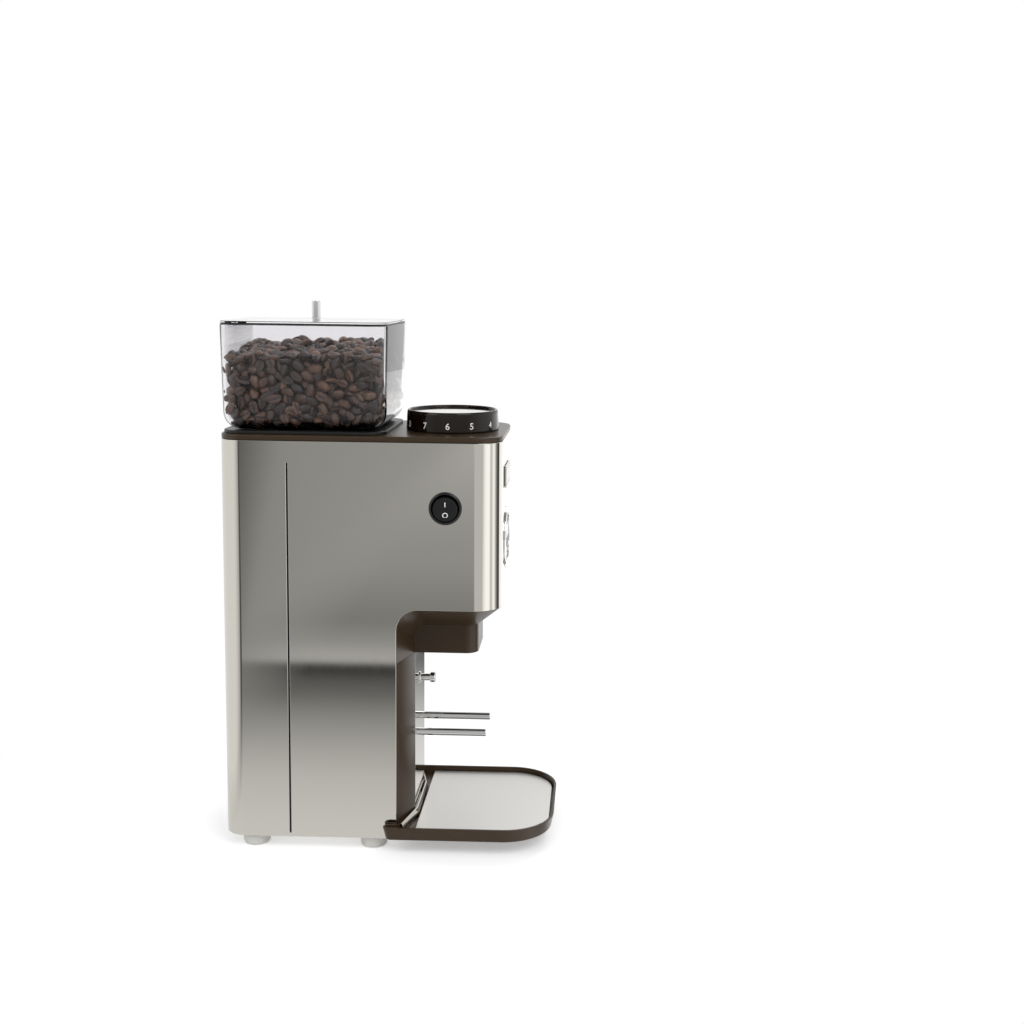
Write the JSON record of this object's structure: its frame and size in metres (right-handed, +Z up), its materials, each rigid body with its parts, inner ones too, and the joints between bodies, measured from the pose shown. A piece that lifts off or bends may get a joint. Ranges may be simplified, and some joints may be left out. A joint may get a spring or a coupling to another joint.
{
  "type": "burr coffee grinder",
  "caption": "Countertop burr coffee grinder: steel casing, clear lift-off bean hopper, numbered grind dial, filter-handle fork, start button, side rocker switch and pull-off tray.",
  "frame": {"origin": "on the surface the machine stands on, at the centre of its outline seen from above", "axes": "+Z up, -Y towards the front (tray, fork and display), -X towards the side with the rocker switch"},
  "size_m": [0.14, 0.265, 0.4374],
  "materials": {
    "polished_steel": "polished stainless sheet",
    "satin_steel": "satin stainless sheet",
    "chrome": "bright chrome plate",
    "brown_plastic": "dark brown moulding with a soft gloss",
    "black_plastic": "black moulding",
    "clear_plastic": "clear moulded",
    "grey_rubber": "matte",
    "coffee_beans": "roasted",
    "tool_steel": "ground",
    "cast_aluminium": "as cast",
    "laminations": "varnished",
    "screen": "glossy black window",
    "circuit_board": "solder mask"
  },
  "bodies": {
    "casing": {"body_shell": "polished_steel", "seam_strip_left": "black_plastic", "seam_strip_right": "black_plastic", "base_plate": "satin_steel", "base_screw_1": "chrome", "base_screw_2": "chrome", "base_screw_3": "chrome", "base_screw_4": "chrome", "foot_front_left": "grey_rubber", "foot_front_right": "grey_rubber", "foot_rear_left": "grey_rubber", "foot_rear_right": "grey_rubber", "top_cover": "brown_plastic", "column_lining": "brown_plastic", "column_panel": "polished_steel", "chute_housing": "brown_plastic", "chute_spout": "black_plastic", "fork_rod_left": "chrome", "fork_rod_right": "chrome", "fork_bracket": "cast_aluminium", "button_bush": "chrome", "start_switch": "black_plastic", "switch_bracket": "satin_steel", "burr_chamber": "cast_aluminium", "grounds_duct": "black_plastic", "motor_deck": "satin_steel", "motor_can": "cast_aluminium", "motor_stator": "laminations", "bearing_lower": "chrome", "bearing_upper": "chrome", "capacitor": "black_plastic", "control_board": "circuit_board", "cable_gland": "black_plastic", "switch_housing": "black_plastic", "display_bezel": "chrome", "display_face": "black_plastic", "display_screen": "screen", "badge_plate": "satin_steel"},
    "hopper": {"hopper_base": "black_plastic", "hopper_body": "clear_plastic", "bean_fill": "coffee_beans"},
    "lid": {"hopper_lid": "clear_plastic", "lid_knob": "chrome", "lid_nut": "chrome"},
    "dial": {"grind_dial": "brown_plastic", "dial_disc": "polished_steel", "dial_spindle": "tool_steel"},
    "yoke": {"burr_yoke": "cast_aluminium", "upper_burr": "tool_steel"},
    "rotor": {"motor_shaft": "tool_steel", "motor_rotor": "laminations", "burr_hub": "tool_steel", "lower_burr": "tool_steel"},
    "start_button": {"start_button": "chrome"},
    "switch_rocker": {"switch_rocker": "black_plastic"},
    "minus_button": {"minus_button": "chrome"},
    "plus_button": {"plus_button": "chrome"},
    "tray": {"tray": "brown_plastic", "tray_trim": "polished_steel"},
    "tray_mat": {"tray_mat": "satin_steel"}
  },
  "joints": [
    {"name": "hopper_lift", "type": "slide", "parent": "casing", "child": "hopper", "axis": [0, 0, 1], "range_m": [0, 0.08]},
    {"name": "lid_lift", "type": "slide", "parent": "hopper", "child": "lid", "axis": [0, 0, 1], "range_m": [0, 0.05]},
    {"name": "dial_turn", "type": "hinge", "parent": "casing", "child": "dial", "pos_m": [0, -0.0451, 0.34], "axis": [0, 0, 1], "range_deg": [-150, 150]},
    {"name": "yoke_lift", "type": "slide", "parent": "casing", "child": "yoke", "axis": [0, 0, 1], "range_m": [-0.00041667, 0.00041667]},
    {"name": "motor_spin", "type": "hinge", "parent": "casing", "child": "rotor", "pos_m": [0, 0.0665, 0.2], "axis": [0, 0, 1], "continuous": true},
    {"name": "start_press", "type": "slide", "parent": "casing", "child": "start_button", "axis": [0, 1, 0], "range_m": [0, 0.0035], "stiffness_N_per_m": 300, "springref_m": -0.003},
    {"name": "rocker_tilt", "type": "hinge", "parent": "casing", "child": "switch_rocker", "pos_m": [-0.056, -0.0462, 0.2785], "axis": [0, 1, 0], "range_deg": [0, 14]},
    {"name": "minus_press", "type": "slide", "parent": "casing", "child": "minus_button", "axis": [0, 1, 0], "range_m": [0, 0.0006], "stiffness_N_per_m": 300, "springref_m": -0.001},
    {"name": "plus_press", "type": "slide", "parent": "casing", "child": "plus_button", "axis": [0, 1, 0], "range_m": [0, 0.0006], "stiffness_N_per_m": 300, "springref_m": -0.001},
    {"name": "tray_pull", "type": "slide", "parent": "casing", "child": "tray", "axis": [0, -1, 0], "range_m": [0, 0.08]},
    {"name": "mat_lift", "type": "slide", "parent": "tray", "child": "tray_mat", "axis": [0, 0, 1], "range_m": [0, 0.03]}
  ],
  "couplings": [
    {"joint": "yoke_lift", "follows": "dial_turn", "m_per_rad": 0.00015915}
  ]
}
